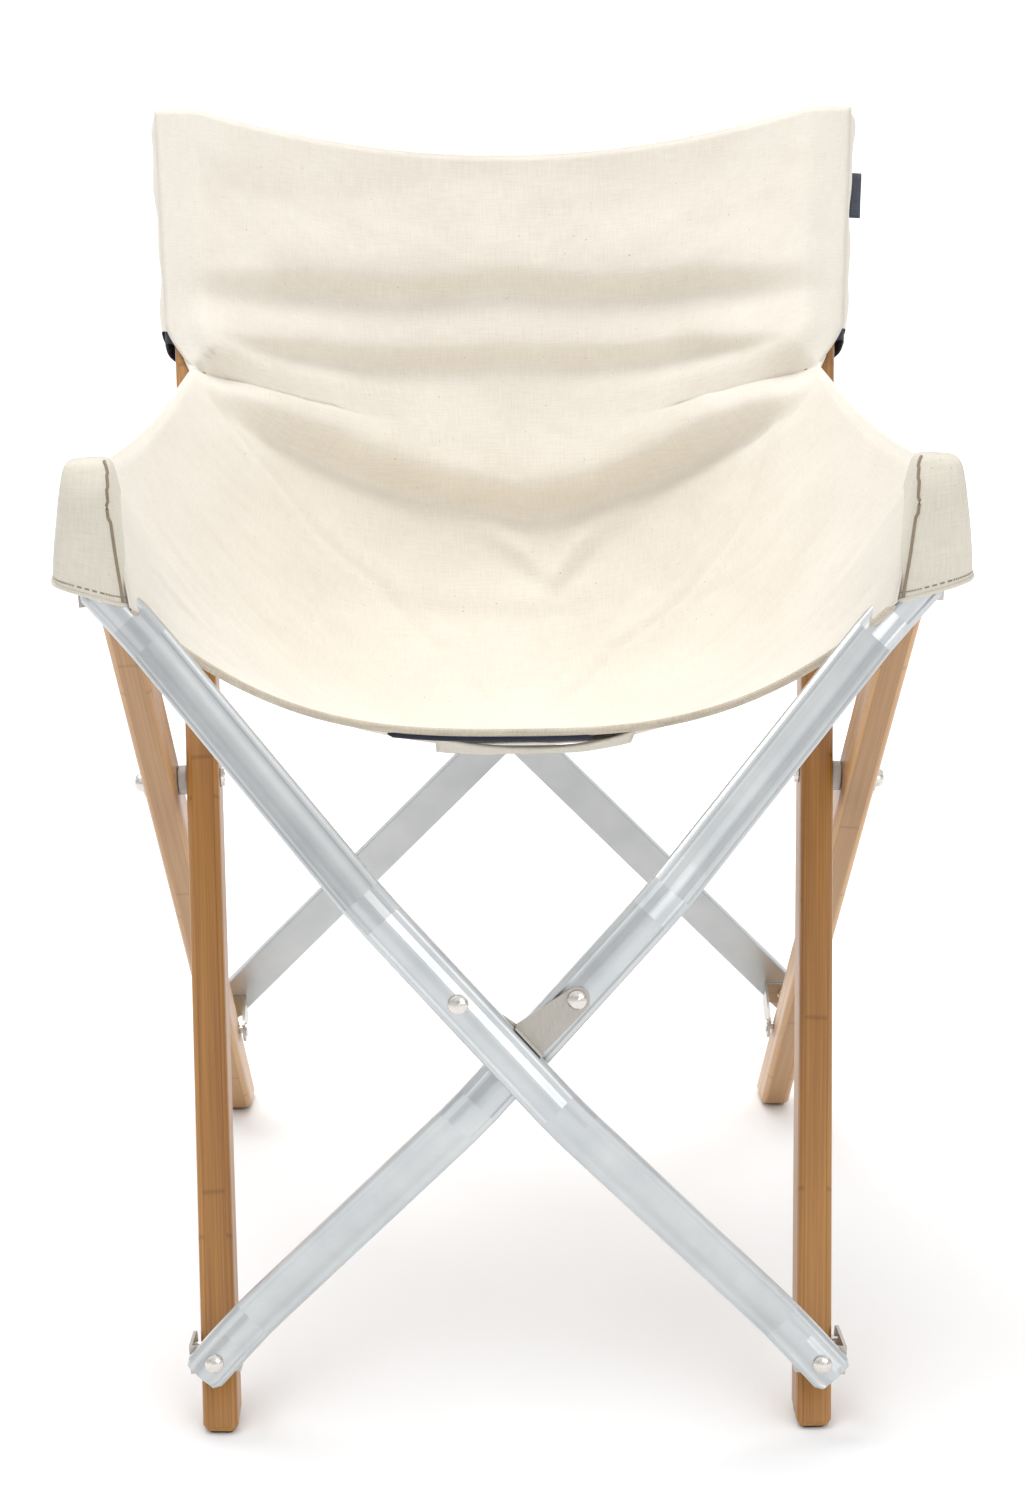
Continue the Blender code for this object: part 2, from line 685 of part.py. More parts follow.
def make_bags(side, word):
    reach = LEG_THICK / 2 + SLEEVE_GAP
    make_bag(f"{word}_post_sleeve", side, long_line, WAIST_AT, SLEEVE_TOP, 1, 0.0,
             (LEG_DEPTH + 2 * SLEEVE_GAP, -reach, reach), SLEEVE_WALL)
    make_bag(f"{word}_arm_pocket", side, short_line, POCKET_FROM, POCKET_TO, -1, PLY_STEP,
             (LEG_DEPTH + 0.012, -reach, reach + 0.011), SLEEVE_WALL)


def smooth_path(points, share):
    """A point of a Catmull-Rom curve through a few hand-picked points."""
    count = len(points) - 1
    place = min(max(share, 0.0), 1.0) * count
    k = min(int(place), count - 1)
    t = place - k
    p1 = points[k]
    p2 = points[k + 1]
    p0 = points[k - 1] if k else p1 * 2 - p2
    p3 = points[k + 2] if k + 2 <= count else p2 * 2 - p1
    a = p1 * 2
    b = (p2 - p0) * t
    c = (p0 * 2 - p1 * 5 + p2 * 4 - p3) * t * t
    d = (p1 * 3 - p0 - p2 * 3 + p3) * t * t * t
    return (a + b + c + d) / 2


def sling_edge(share):
    """Right edge of the sling: down the back post, along the arm, down the pocket to the hem."""
    post_top = frame_point(1, *long_line(LONG_LENGTH - 0.008)[:2], POST_IN)
    waist = frame_point(1, *long_line(WAIST_AT - 0.005)[:2], POST_IN)
    y, up, angle = short_line(POCKET_TO - 0.004)
    arm_front = frame_point(1, y + 0.036, up + 0.006, ARM_OUT)
    y, up, angle = short_line(HEM_END_AT)
    hem_end = frame_point(1, y - 0.012, up - 0.020, ARM_OUT)
    if share < 0.3:
        return post_top.lerp(waist, share / 0.3)
    if share < 0.8:
        return waist.lerp(arm_front, (share - 0.3) / 0.5)
    return arm_front.lerp(hem_end, (share - 0.8) / 0.2)


SLING_CENTRE = [(0.0, 0.532, 0.770), (0.0, 0.520, 0.642), (0.0, 0.490, 0.520),
                (0.0, 0.440, 0.425), (0.0, 0.360, 0.382), (0.0, 0.240, 0.398),
                (0.0, 0.105, 0.4285)]


def sling_point(share, across, drop=0.0):
    centre = smooth_path([Vector(p) for p in SLING_CENTRE], share)
    centre.y -= CENTRE_Y
    edge = sling_edge(share)
    power = 2.0 + 0.6 * min(share / 0.4, 1.0)
    blend = abs(across) ** power
    point = centre.lerp(edge, blend)
    point.x = edge.x * across
    point.z -= drop
    return point


def make_sling():
    rows = 34
    columns = 28
    grid = []
    for i in range(rows + 1):
        share = i / rows
        grid.append([sling_point(share, -1 + 2 * j / columns) for j in range(columns + 1)])
    origin = Vector((0, grid[0][columns // 2].y, grid[0][columns // 2].z))
    make_object("canvas_sling", sheet_solid(grid, CLOTH), "canvas", origin)


def make_under_layer():
    """Short second layer under the middle of the front hem."""
    grid = []
    for i in range(5):
        share = 0.985 - 0.10 * i / 4
        line = []
        for j in range(13):
            across = (-1 + 2 * j / 12) * 0.36
            line.append(sling_point(share, across, 0.0068))
        grid.append(line)
    make_object("canvas_under_layer", sheet_solid(grid, 0.0014), "canvas", grid[0][6].copy())


def make_tag():
    """Small side label sewn to the outer side of the right post sleeve."""
    y, up, angle = long_line(LONG_LENGTH - 0.050)
    out = LEG_THICK / 2 + SLEEVE_GAP + SLEEVE_WALL + GAP
    grid = []
    for i in range(2):
        line = []
        for j in range(2):
            forward = -0.005 + 0.010 * j
            line.append(frame_point(1, y + forward, up + 0.026 * i, out + 0.0012))
        grid.append(line)
    make_object("canvas_side_tag", sheet_solid(grid, 0.001), "tag_fabric", grid[0][0].copy())


def main():
    clear_scene()
    for side, word in ((-1, "left"), (1, "right")):
        make_legs(side, word)
        make_side_pivot(side, word)
        make_bags(side, word)
    make_cross(FRONT, "front")
    make_cross(REAR, "rear")
    make_front_link()
    make_rear_pivot()
    make_sling()
    make_under_layer()
    make_tag()


main()
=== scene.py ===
"""Folding camp chair: its finishes, sewn canvas, floor, light and camera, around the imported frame."""
import math

import bmesh
import bpy
import numpy as np
from mathutils import Matrix, Vector, noise


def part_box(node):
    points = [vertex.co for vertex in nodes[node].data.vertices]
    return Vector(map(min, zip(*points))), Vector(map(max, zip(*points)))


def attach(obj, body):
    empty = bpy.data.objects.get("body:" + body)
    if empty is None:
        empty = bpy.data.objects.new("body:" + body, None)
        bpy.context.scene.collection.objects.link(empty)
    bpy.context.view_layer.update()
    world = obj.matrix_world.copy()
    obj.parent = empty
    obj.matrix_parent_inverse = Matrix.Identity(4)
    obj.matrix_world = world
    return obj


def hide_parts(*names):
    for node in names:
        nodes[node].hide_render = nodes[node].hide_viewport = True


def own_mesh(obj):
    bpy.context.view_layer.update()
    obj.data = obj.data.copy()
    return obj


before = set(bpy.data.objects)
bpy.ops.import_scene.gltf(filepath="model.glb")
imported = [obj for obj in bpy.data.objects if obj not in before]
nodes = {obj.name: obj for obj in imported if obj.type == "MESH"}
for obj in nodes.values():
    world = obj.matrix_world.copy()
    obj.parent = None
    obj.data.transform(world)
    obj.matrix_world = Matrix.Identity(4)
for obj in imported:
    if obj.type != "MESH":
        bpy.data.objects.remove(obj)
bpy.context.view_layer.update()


# ------------------------------------------------------------------ bamboo legs
# Each leg is planed from laminated bamboo: thin strips glued side by side, with the dark marks
# of the cane's joints here and there, then oiled. The short legs are a paler batch.

FOOT_HALF = 0.189
LEAN = math.radians(3.53)
PLY_STEP = 0.0293           # from the long leg's plane out to the short leg's
LONG_ANGLE = math.radians(53.75)
POST_ANGLE = math.radians(69.25)
LONG_LENGTH = 0.962
POST_BEND_AT = 0.755
POST_BEND_LENGTH = 0.080
SHORT_ANGLE = math.radians(43.8)
REAR_FOOT_Y = 0.6445
CENTRE_Y = 0.2761
STRIP = 0.0056
KNOT_STEP = 0.31
BLACK = (0, 0, 0)
WHITE = (1, 1, 1)
SIDES = ((-1, "left"), (1, "right"))


def side_point(side, y, up, out):
    """A point of a side frame: y back, up along its plane, out from the long leg's plane."""
    x = FOOT_HALF + up * math.sin(LEAN) + out * math.cos(LEAN)
    z = up * math.cos(LEAN) - out * math.sin(LEAN)
    return Vector((side * x, y - CENTRE_Y, z))


def long_place(side, s, front, out):
    """s along the long leg from its foot, front of its centre line, out across it."""
    radius = POST_BEND_LENGTH / (POST_ANGLE - LONG_ANGLE)
    straight = min(s, POST_BEND_AT)
    bent = min(max(s - POST_BEND_AT, 0.0), POST_BEND_LENGTH)
    rest = max(s - POST_BEND_AT - POST_BEND_LENGTH, 0.0)
    angle = LONG_ANGLE + bent / radius
    y = straight * math.cos(LONG_ANGLE) + rest * math.cos(angle)
    up = straight * math.sin(LONG_ANGLE) + rest * math.sin(angle)
    y += radius * (math.sin(angle) - math.sin(LONG_ANGLE))
    up += radius * (math.cos(LONG_ANGLE) - math.cos(angle))
    return side_point(side, y - front * math.sin(angle), up + front * math.cos(angle), out)


def short_place(side, s):
    """s along the short leg's centre line from its rear foot."""
    return side_point(side, REAR_FOOT_Y - s * math.cos(SHORT_ANGLE), s * math.sin(SHORT_ANGLE), PLY_STEP)


def new_material(name):
    material = bpy.data.materials.new(name)
    material.use_nodes = True
    tree = material.node_tree
    return material, tree, tree.nodes["Principled BSDF"]


def add(tree, kind, inputs=None, **settings):
    """A shader node; an input is given as a number, a tuple or another node's socket."""
    node = tree.nodes.new(kind)
    for key, value in settings.items():
        setattr(node, key, value)
    for key, value in (inputs or {}).items():
        if isinstance(value, bpy.types.NodeSocket):
            tree.links.new(value, node.inputs[key])
        else:
            node.inputs[key].default_value = value
    return node


def ramp(tree, source, *stops):
    """A colour ramp through (place, colour) stops."""
    node = add(tree, "ShaderNodeValToRGB", {0: source})
    for k, (place, colour) in enumerate(stops):
        element = node.color_ramp.elements[k] if k < 2 else node.color_ramp.elements.new(place)
        element.position = place
        element.color = (*colour, 1.0)
    return node.outputs["Color"]


def maths(tree, operation, a, b=0.0):
    return add(tree, "ShaderNodeMath", {0: a, 1: b}, operation=operation).outputs[0]


def times(tree, a, b):
    return maths(tree, "MULTIPLY", a, b)


def plus(tree, a, b):
    return maths(tree, "ADD", a, b)


def mix(tree, factor, a, b, blend="MIX"):
    """Two colours mixed; the second can be a plain colour."""
    node = add(tree, "ShaderNodeMix", {0: factor}, data_type="RGBA", blend_type=blend)
    for socket, value in ((node.inputs[6], a), (node.inputs[7], b)):
        if isinstance(value, bpy.types.NodeSocket):
            tree.links.new(value, socket)
        else:
            socket.default_value = (*value, 1.0)
    return node.outputs[2]


def speckle(tree, place, scale, detail=2.0, roughness=0.5):
    """Noise of that many cells a metre; three numbers stretch it along the axes."""
    if isinstance(scale, tuple):
        place = add(tree, "ShaderNodeMapping", {"Vector": place, "Scale": scale}).outputs[0]
        scale = 1.0
    return add(tree, "ShaderNodeTexNoise", {"Vector": place, "Scale": scale, "Detail": detail,
                                            "Roughness": roughness}).outputs["Fac"]


def between_values(tree, source, low, high):
    """Turns a value from 0 to 1 into one from low to high."""
    return add(tree, "ShaderNodeMapRange", {0: source, 3: low, 4: high}).outputs[0]


def object_place(tree):
    """Coordinates in metres, in the chair's own frame."""
    return add(tree, "ShaderNodeTexCoord").outputs["Object"]


def in_line_with(tree, along, face):
    """Coordinates in metres: x along the piece, y across its face, z into it."""
    along = along.normalized()
    across = face.cross(along).normalized()
    turn = Matrix((along, across, along.cross(across))).to_euler()
    turned = add(tree, "ShaderNodeMapping", {"Vector": object_place(tree), "Rotation": tuple(turn)})
    return turned.outputs[0]


def finish_with(tree, shader, colour, relief, strength, depth, rough=None, normal=None):
    """Links the colour, the roughness and a fine relief of that depth in metres."""
    tree.links.new(colour, shader.inputs["Base Color"])
    if rough:
        tree.links.new(rough, shader.inputs["Roughness"])
    bump = add(tree, "ShaderNodeBump", {"Height": relief, "Strength": strength, "Distance": depth})
    if normal:
        tree.links.new(normal, bump.inputs["Normal"])
    tree.links.new(bump.outputs[0], shader.inputs["Normal"])


def bamboo(name, along, face, dark, light, seed):
    """Strips of their own tint, with fine grain, dark joint marks and thin glue lines."""
    material, tree, shader = new_material(name)
    place = in_line_with(tree, along, face)
    parts = add(tree, "ShaderNodeSeparateXYZ", {0: place})
    strips = maths(tree, "DIVIDE", parts.outputs[1], STRIP)
    own = add(tree, "ShaderNodeTexWhiteNoise", {"W": plus(tree, maths(tree, "FLOOR", strips), seed)},
              noise_dimensions="1D").outputs["Value"]
    grain = speckle(tree, place, (6.0, 900.0, 900.0), 5.0, 0.65)
    streak = speckle(tree, place, (3.0, 70.0, 70.0), 3.0)
    tone = plus(tree, times(tree, grain, 0.55), times(tree, streak, 0.45))
    colour = ramp(tree, tone, (0.30, dark), (0.68, light))
    shade = plus(tree, 0.86, times(tree, own, 0.24))
    shades = add(tree, "ShaderNodeCombineColor", {0: shade, 1: shade, 2: shade}).outputs[0]
    colour = mix(tree, 1.0, colour, shades, "MULTIPLY")
    shifted = plus(tree, parts.outputs[0], times(tree, own, 0.9))
    cane = maths(tree, "FRACT", maths(tree, "DIVIDE", shifted, KNOT_STEP))
    knot = ramp(tree, cane, (0.0, BLACK), (0.985, BLACK), (0.993, WHITE), (1.0, BLACK))
    colour = mix(tree, times(tree, knot, 0.45), colour, tuple(c * 0.45 for c in dark))
    edge = maths(tree, "ABSOLUTE", maths(tree, "SUBTRACT", maths(tree, "FRACT", strips), 0.5))
    glue = ramp(tree, edge, (0.47, BLACK), (0.495, WHITE))
    colour = mix(tree, times(tree, glue, 0.30), colour, tuple(c * 0.5 for c in dark))
    relief = maths(tree, "SUBTRACT", grain, times(tree, glue, 0.6))
    finish_with(tree, shader, colour, relief, 0.22, 0.0004, between_values(tree, grain, 0.50, 0.34))
    shader.inputs["Coat Weight"].default_value = 0.18
    shader.inputs["Coat Roughness"].default_value = 0.28
    return material


for side, word in SIDES:
    long_way = long_place(side, 0.6, 0, 0) - long_place(side, 0.1, 0, 0)
    short_way = short_place(side, 0.6) - short_place(side, 0.1)
    across = side_point(side, 0, 0, 1) - side_point(side, 0, 0, 0)
    caramel = bamboo(f"bamboo_long_{word}", long_way, across, (0.215, 0.080, 0.015),
                     (0.490, 0.235, 0.055), 3.0 + side)
    nodes[f"{word}_long_leg"].material_slots[0].material = caramel
    pale = bamboo(f"bamboo_short_{word}", short_way, across, (0.400, 0.200, 0.075),
                  (0.640, 0.390, 0.190), 9.0 + side)
    nodes[f"{word}_short_leg"].material_slots[0].material = pale


# ------------------------------------------------------------------ foot pads
# Thin moulded plastic pads under the ends of the four legs, scuffed dull by the ground.

def moulded(name, colour, roughness, grain_size, depth):
    """Moulded plastic: a fine pebbled grain, a little dirt and uneven shine."""
    material, tree, shader = new_material(name)
    place = object_place(tree)
    grain = speckle(tree, place, grain_size, 4.0)
    patch = speckle(tree, place, 60.0)
    dirt = ramp(tree, patch, (0.3, tuple(c * 0.86 for c in colour)), (0.7, colour))
    shine = between_values(tree, patch, roughness - 0.08, roughness + 0.08)
    finish_with(tree, shader, dirt, grain, 0.3, depth, shine)
    return material


pad_plastic = moulded("foot_pad_plastic", (0.070, 0.050, 0.036), 0.62, 1500.0, 0.0002)
for side, word in SIDES:
    for end in ("front", "rear"):
        nodes[f"{word}_{end}_glide"].material_slots[0].material = pad_plastic


# ------------------------------------------------------------------ aluminium channels
# Extruded section with a rounded ridge between two flutes, bent to shape and satin anodised.
# Faint draw lines run along it from the die. Domed rivets hold the ends.

def satin_aluminium(name, along, face):
    """Brushed along the piece; shaded flat, so that the flutes keep their edges."""
    material, tree, shader = new_material(name)
    place = in_line_with(tree, along, face)
    lines = speckle(tree, place, (4.0, 2600.0, 2600.0), 3.0)
    haze = speckle(tree, place, 26.0, 3.0)
    colour = ramp(tree, haze, (0.3, (0.52, 0.545, 0.555)), (0.7, (0.60, 0.62, 0.625)))
    flat_face = add(tree, "ShaderNodeNewGeometry").outputs["True Normal"]
    finish_with(tree, shader, colour, lines, 0.12, 0.0001, between_values(tree, lines, 0.30, 0.42), flat_face)
    shader.inputs["Metallic"].default_value = 1.0
    return material


def middle_of(node):
    return sum(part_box(node), Vector()) / 2


for place in ("front", "rear"):
    for letter, low, high in (("a", "right", "left"), ("b", "left", "right")):
        run = middle_of(f"{high}_{place}_upper_rivet") - middle_of(f"{low}_{place}_lower_rivet")
        metal = satin_aluminium(f"aluminium_{place}_{letter}", run, Vector((0, -1, 0)))
        nodes[f"{place}_channel_{letter}"].material_slots[0].material = metal


# ------------------------------------------------------------------ steel fittings
# Pressed stainless brackets and link plate, tumbled to a soft brushed face, nickel-plated rivets,
# pins, bolts and dome nuts with a bright polish, and pale plastic spacers at the side pivots.

def steel(name, colour, low, high, scale, strength):
    """Bare metal with fine brush lines, its roughness between low and high."""
    material, tree, shader = new_material(name)
    lines = speckle(tree, object_place(tree), scale, 3.0)
    tint = ramp(tree, lines, (0.3, tuple(c * 0.88 for c in colour)), (0.7, colour))
    finish_with(tree, shader, tint, lines, strength, 0.0001, between_values(tree, lines, low, high))
    shader.inputs["Metallic"].default_value = 1.0
    return material


pressed = steel("pressed_steel", (0.50, 0.475, 0.43), 0.22, 0.40, (1500.0, 1500.0, 60.0), 0.15)
nickel = steel("nickel_plate", (0.74, 0.71, 0.66), 0.10, 0.20, (500.0, 500.0, 500.0), 0.05)
spacer_white = moulded("spacer_plastic", (0.62, 0.62, 0.60), 0.42, 900.0, 0.0001)
for name, item in nodes.items():
    if name.endswith("_bracket") or name == "front_link_plate":
        item.material_slots[0].material = pressed
    elif name.endswith(("_pin", "_rivet", "_stud", "_bolt", "_dome_nut")) or "link_rivet" in name:
        item.material_slots[0].material = nickel
    elif name.endswith("_side_spacer"):
        item.material_slots[0].material = spacer_white


# ------------------------------------------------------------------ canvas cloth
# Undyed heavy cotton duck, 1.6 mm thick: a plain weave with slubs, flecks of seed husk, and a
# soft nap that catches the light along its folds.

THREAD = 0.0009
CLOTH = 0.0016
ROPE = 0.0022               # pitch of the slanting threads of the hem


def waves(tree, source, pitch):
    return maths(tree, "SINE", times(tree, source, 2 * math.pi / pitch))


def cotton(name, colour, shade, weave=1.0, rope=0.0):
    """Woven cotton in the cloth's own metres; a rope pitch slants the threads instead."""
    material, tree, shader = new_material(name)
    flat = add(tree, "ShaderNodeUVMap", uv_map="cloth").outputs[0]
    parts = add(tree, "ShaderNodeSeparateXYZ", {0: flat})
    over, down = parts.outputs[0], parts.outputs[1]
    if rope:
        threads = waves(tree, plus(tree, over, down), rope)
    else:
        threads = times(tree, waves(tree, over, THREAD), waves(tree, down, THREAD))
    slub = speckle(tree, flat, (900.0, 60.0, 1.0), 3.0)
    pick = speckle(tree, flat, (60.0, 900.0, 1.0), 3.0)
    mottle = speckle(tree, flat, 14.0, 4.0)
    fleck = speckle(tree, flat, 330.0, 1.0)
    tone = plus(tree, times(tree, slub, 0.35), times(tree, pick, 0.35))
    tone = plus(tree, tone, times(tree, mottle, 0.30))
    base = ramp(tree, tone, (0.32, shade), (0.62, colour))
    husk = ramp(tree, fleck, (0.755, BLACK), (0.80, WHITE))
    base = mix(tree, times(tree, husk, 0.55), base, (0.34, 0.235, 0.14))
    relief = plus(tree, times(tree, threads, 0.45 * weave), plus(tree, slub, pick))
    finish_with(tree, shader, base, relief, 0.40, 0.00035)
    shader.inputs["Roughness"].default_value = 0.92
    shader.inputs["Specular IOR Level"].default_value = 0.22
    shader.inputs["Sheen Weight"].default_value = 0.22
    shader.inputs["Sheen Roughness"].default_value = 0.5
    return material


canvas = cotton("canvas_natural", (0.83, 0.785, 0.705), (0.73, 0.675, 0.59))
# The pockets and the strip under the seat use this same canvas made darker: painted shade.
canvas_painted_shade = cotton("canvas_pocket_painted_shade", (0.71, 0.67, 0.575), (0.59, 0.555, 0.465))
thread_white = cotton("stitching_cotton", (0.92, 0.90, 0.86), (0.84, 0.81, 0.76), 0.3)
# Brown thread for the pockets' stitching, also used for the cord along their seams, which is partly painted
# shade.
brown_thread_and_seam_shade = cotton("stitching_brown_and_seam_shade", (0.30, 0.24, 0.17), (0.22, 0.17, 0.12), 0.3)
binding_navy = cotton("binding_tape", (0.030, 0.035, 0.055), (0.016, 0.018, 0.030))
tag_weave = cotton("tag_weave", (0.10, 0.11, 0.14), (0.05, 0.055, 0.075))
hem_cloth = cotton("hem_edge", (0.66, 0.59, 0.48), (0.40, 0.34, 0.26), 3.0, ROPE)


def mesh_object(name, bm, *materials):
    """A bmesh as an object in the scene."""
    mesh = bpy.data.meshes.new(name)
    bm.to_mesh(mesh)
    bm.free()
    for material in materials:
        mesh.materials.append(material)
    item = bpy.data.objects.new(name, mesh)
    bpy.context.scene.collection.objects.link(item)
    return item


def cloth_object(name, grid, material, thickness=0.0, wrap=False):
    """A sheet through a grid of points, with a cloth map in metres.

    It is thickened behind its faces, or in front of them where the thickness is above zero.
    """
    columns = len(grid[0])
    bm = bmesh.new()
    layer = bm.loops.layers.uv.new("cloth")
    verts = [[bm.verts.new(point) for point in row] for row in grid]
    down = [0.0]
    for near, far in zip(grid, grid[1:]):
        down.append(down[-1] + (far[columns // 2] - near[columns // 2]).length)
    middle = grid[len(grid) // 2]
    over = [0.0]
    for near, far in zip(middle, [*middle[1:], middle[0]]):
        over.append(over[-1] + (far - near).length)
    for i in range(len(grid) - 1):
        for j in range(columns if wrap else columns - 1):
            k = (j + 1) % columns
            face = bm.faces.new((verts[i][j], verts[i][k], verts[i + 1][k], verts[i + 1][j]))
            face.smooth = True
            corners = ((i, j), (i, j + 1), (i + 1, j + 1), (i + 1, j))
            for loop, (a, b) in zip(face.loops, corners):
                loop[layer].uv = (over[b], down[a])
    item = mesh_object(name, bm, material)
    if thickness:
        solid = item.modifiers.new("thickness", "SOLIDIFY")
        solid.thickness = abs(thickness)
        solid.offset = math.copysign(1.0, thickness)
        bpy.context.view_layer.update()
        final = item.evaluated_get(bpy.context.evaluated_depsgraph_get())
        result = bpy.data.meshes.new_from_object(final)
        item.modifiers.clear()
        item.data = result
    return item


def join(name, items):
    """Several meshes as one piece, keeping their materials."""
    bm = bmesh.new()
    materials = []
    for item in items:
        first = len(bm.faces)
        bm.from_mesh(item.data)
        own = [slot.material for slot in item.material_slots]
        bm.faces.ensure_lookup_table()
        for face in bm.faces[first:]:
            material = own[face.material_index]
            if material not in materials:
                materials.append(material)
            face.material_index = materials.index(material)
        bpy.data.objects.remove(item)
    return mesh_object(name, bm, *materials)


# ------------------------------------------------------------------ the sling
# Back, seat and arm panels are sewn from one run of canvas. It hangs from the posts and arm
# ends, so the slack gathers in rolls across the back and in a deep fold between the waists.

POST_FRONT = 0.0212         # from the post's centre line forward to the cloth
POST_OUT = 0.0165
POST_TOP = LONG_LENGTH + 0.004
SLEEVE_END = 0.800
WAIST_AT = 0.762
WAIST_OUT = -0.0020
SLEEVE_SHARE = 0.235        # shares of the way from the top edge to the front hem
WAIST_SHARE = 0.29
ARM_SHARE = 0.80
ARM_SAG = 0.008
HALF_WIDTH = 0.235          # metres for one unit of across
RUN = 0.78                  # metres for one unit of share
SLING_ROWS = 176
SLING_COLUMNS = 132
MIDDLE = [Vector((0.0, y - CENTRE_Y, z)) for y, z in
          ((0.540, 0.770), (0.527, 0.655), (0.506, 0.545), (0.452, 0.440), (0.362, 0.386),
           (0.240, 0.392), (0.105, 0.430))]

# Each roll follows a line of (across, share) points, and its strength rises and falls along it.
# Above the line it swells over the first width, below it tucks in over the second. The last
# number is its height.
ROLLS = [
    (((-1, 0.185), (-0.6, 0.140), (0, 0.118), (0.6, 0.138), (1, 0.180)),
     (0, 1.0, 1.0, 1.0, 0), 0.050, 0.012, 0.0120),
    (((-1, 0.255), (-0.6, 0.216), (0, 0.200), (0.6, 0.212), (1, 0.262)),
     (0, 0.9, 1.0, 0.9, 0), 0.036, 0.010, 0.0100),
    (((-1, 0.318), (-0.6, 0.322), (-0.2, 0.346), (0.05, 0.362), (0.3, 0.352), (0.7, 0.325), (1, 0.330)),
     (0.15, 1.0, 1.1, 1.0, 1.05, 1.0, 0.15), 0.075, 0.012, 0.0200),
    (((-0.25, 0.385), (-0.07, 0.395), (0.05, 0.425), (0.22, 0.470)),
     (0, 0.8, 1.0, 0), 0.020, 0.010, 0.0060),
    (((0.10, 0.480), (0.22, 0.425), (0.32, 0.395), (0.48, 0.380)),
     (0, 1.0, 0.8, 0), 0.020, 0.012, 0.0060),
    (((-0.55, 0.455), (-0.2, 0.478), (0.1, 0.480), (0.5, 0.478)),
     (0, 0.7, 0.7, 0), 0.022, 0.012, 0.0030),
]

# Seams where the arm gussets meet the seat: they draw the cloth in by a millimetre or two.
GUSSETS = [
    ((-0.95, 0.330), (-0.80, 0.385), (-0.60, 0.440), (-0.40, 0.475), (-0.20, 0.550), (-0.05, 0.640)),
    ((0.97, 0.340), (0.82, 0.385), (0.72, 0.470), (0.57, 0.520), (0.35, 0.560), (0.15, 0.640)),
]

# Rows of stitching, each along (across, share) points.
THREAD_LINES = [
    ((-0.36, 0.212), (-0.20, 0.228), (0.02, 0.234), (0.23, 0.230), (0.42, 0.214)),
    ((-0.93, 0.090), (-0.88, 0.055), (-0.78, 0.030), (-0.66, 0.018)),
    ((0.94, 0.090), (0.88, 0.055), (0.78, 0.030), (0.66, 0.018)),
    ((-0.95, 0.987), (-0.5, 0.984), (0.0, 0.984), (0.5, 0.984), (0.95, 0.987)),
    ((-0.972, 0.33), (-0.972, 0.50), (-0.972, 0.78)),
    ((0.972, 0.33), (0.972, 0.50), (0.972, 0.78)),
    ((-0.945, 0.80), (-0.93, 0.87), (-0.93, 0.96)),
    ((0.945, 0.80), (0.93, 0.87), (0.93, 0.96)),
]


def between(points, share):
    """A point of a smooth curve through all the points given."""
    count = len(points) - 1
    place = min(max(share, 0.0), 1.0) * count
    k = min(int(place), count - 1)
    t = place - k
    p1 = points[k]
    p2 = points[k + 1]
    p0 = points[k - 1] if k else p1 * 2 - p2
    p3 = points[k + 2] if k + 2 <= count else p2 * 2 - p1
    a = p1 * 2
    b = (p2 - p0) * t
    c = (p0 * 2 - p1 * 5 + p2 * 4 - p3) * t * t
    d = (p1 * 3 - p0 - p2 * 3 + p3) * t * t * t
    return (a + b + c + d) / 2


def sling_edge(share):
    """Right edge: down the sleeve, in to the waist, along the arm, down the pocket's seam."""
    waist = long_place(1, WAIST_AT, POST_FRONT, WAIST_OUT)
    arm = side_point(1, 0.010, 0.6195, PLY_STEP - 0.006)
    hem_end = side_point(1, 0.0125, 0.532, PLY_STEP - 0.0165)
    if share < SLEEVE_SHARE:
        s = POST_TOP + (SLEEVE_END - POST_TOP) * share / SLEEVE_SHARE
        return long_place(1, s, POST_FRONT, POST_OUT)
    if share < WAIST_SHARE:
        t = (share - SLEEVE_SHARE) / (WAIST_SHARE - SLEEVE_SHARE)
        s = SLEEVE_END + (WAIST_AT - SLEEVE_END) * t
        return long_place(1, s, POST_FRONT, POST_OUT + (WAIST_OUT - POST_OUT) * t ** 1.3)
    if share < ARM_SHARE:
        t = (share - WAIST_SHARE) / (ARM_SHARE - WAIST_SHARE)
        point = waist.lerp(arm, t)
        point.z -= ARM_SAG * math.sin(math.pi * t)
        return point
    return arm.lerp(hem_end, (share - ARM_SHARE) / (1 - ARM_SHARE))


def sling_base(share, across):
    """The sling before its folds. Across runs from -1 at the left edge to 1 at the right."""
    edge = sling_edge(share)
    span = abs(across)
    on_post = max(0.0, min(1.0, (WAIST_SHARE - share) / 0.03))
    free = min(1.0, span / (1.0 - 0.115 * on_post))
    power = 2.0 + 0.9 * min(share / 0.4, 1.0)
    point = between(MIDDLE, share).lerp(edge, free ** power)
    point.x = edge.x * across
    point.y += 0.0022 * max(0.0, (span - 0.975) / 0.025) * on_post
    return point


def roll_height(across, share, roll):
    """One roll over the whole grid: a slow swell down to its line, then a quick tuck."""
    line, strength, above, below, height = roll
    places = [p[0] for p in line]
    crest = np.interp(across, places, [p[1] for p in line])
    power = np.interp(across, places, strength)
    gap = (share - crest) * RUN
    swell = np.where(gap < 0, np.exp(-(gap / above) ** 2), np.exp(-(gap / below) ** 2))
    furrow = np.exp(-((gap - below * 1.7) / (below * 1.3)) ** 2)
    return height * power * (swell - 0.45 * furrow)


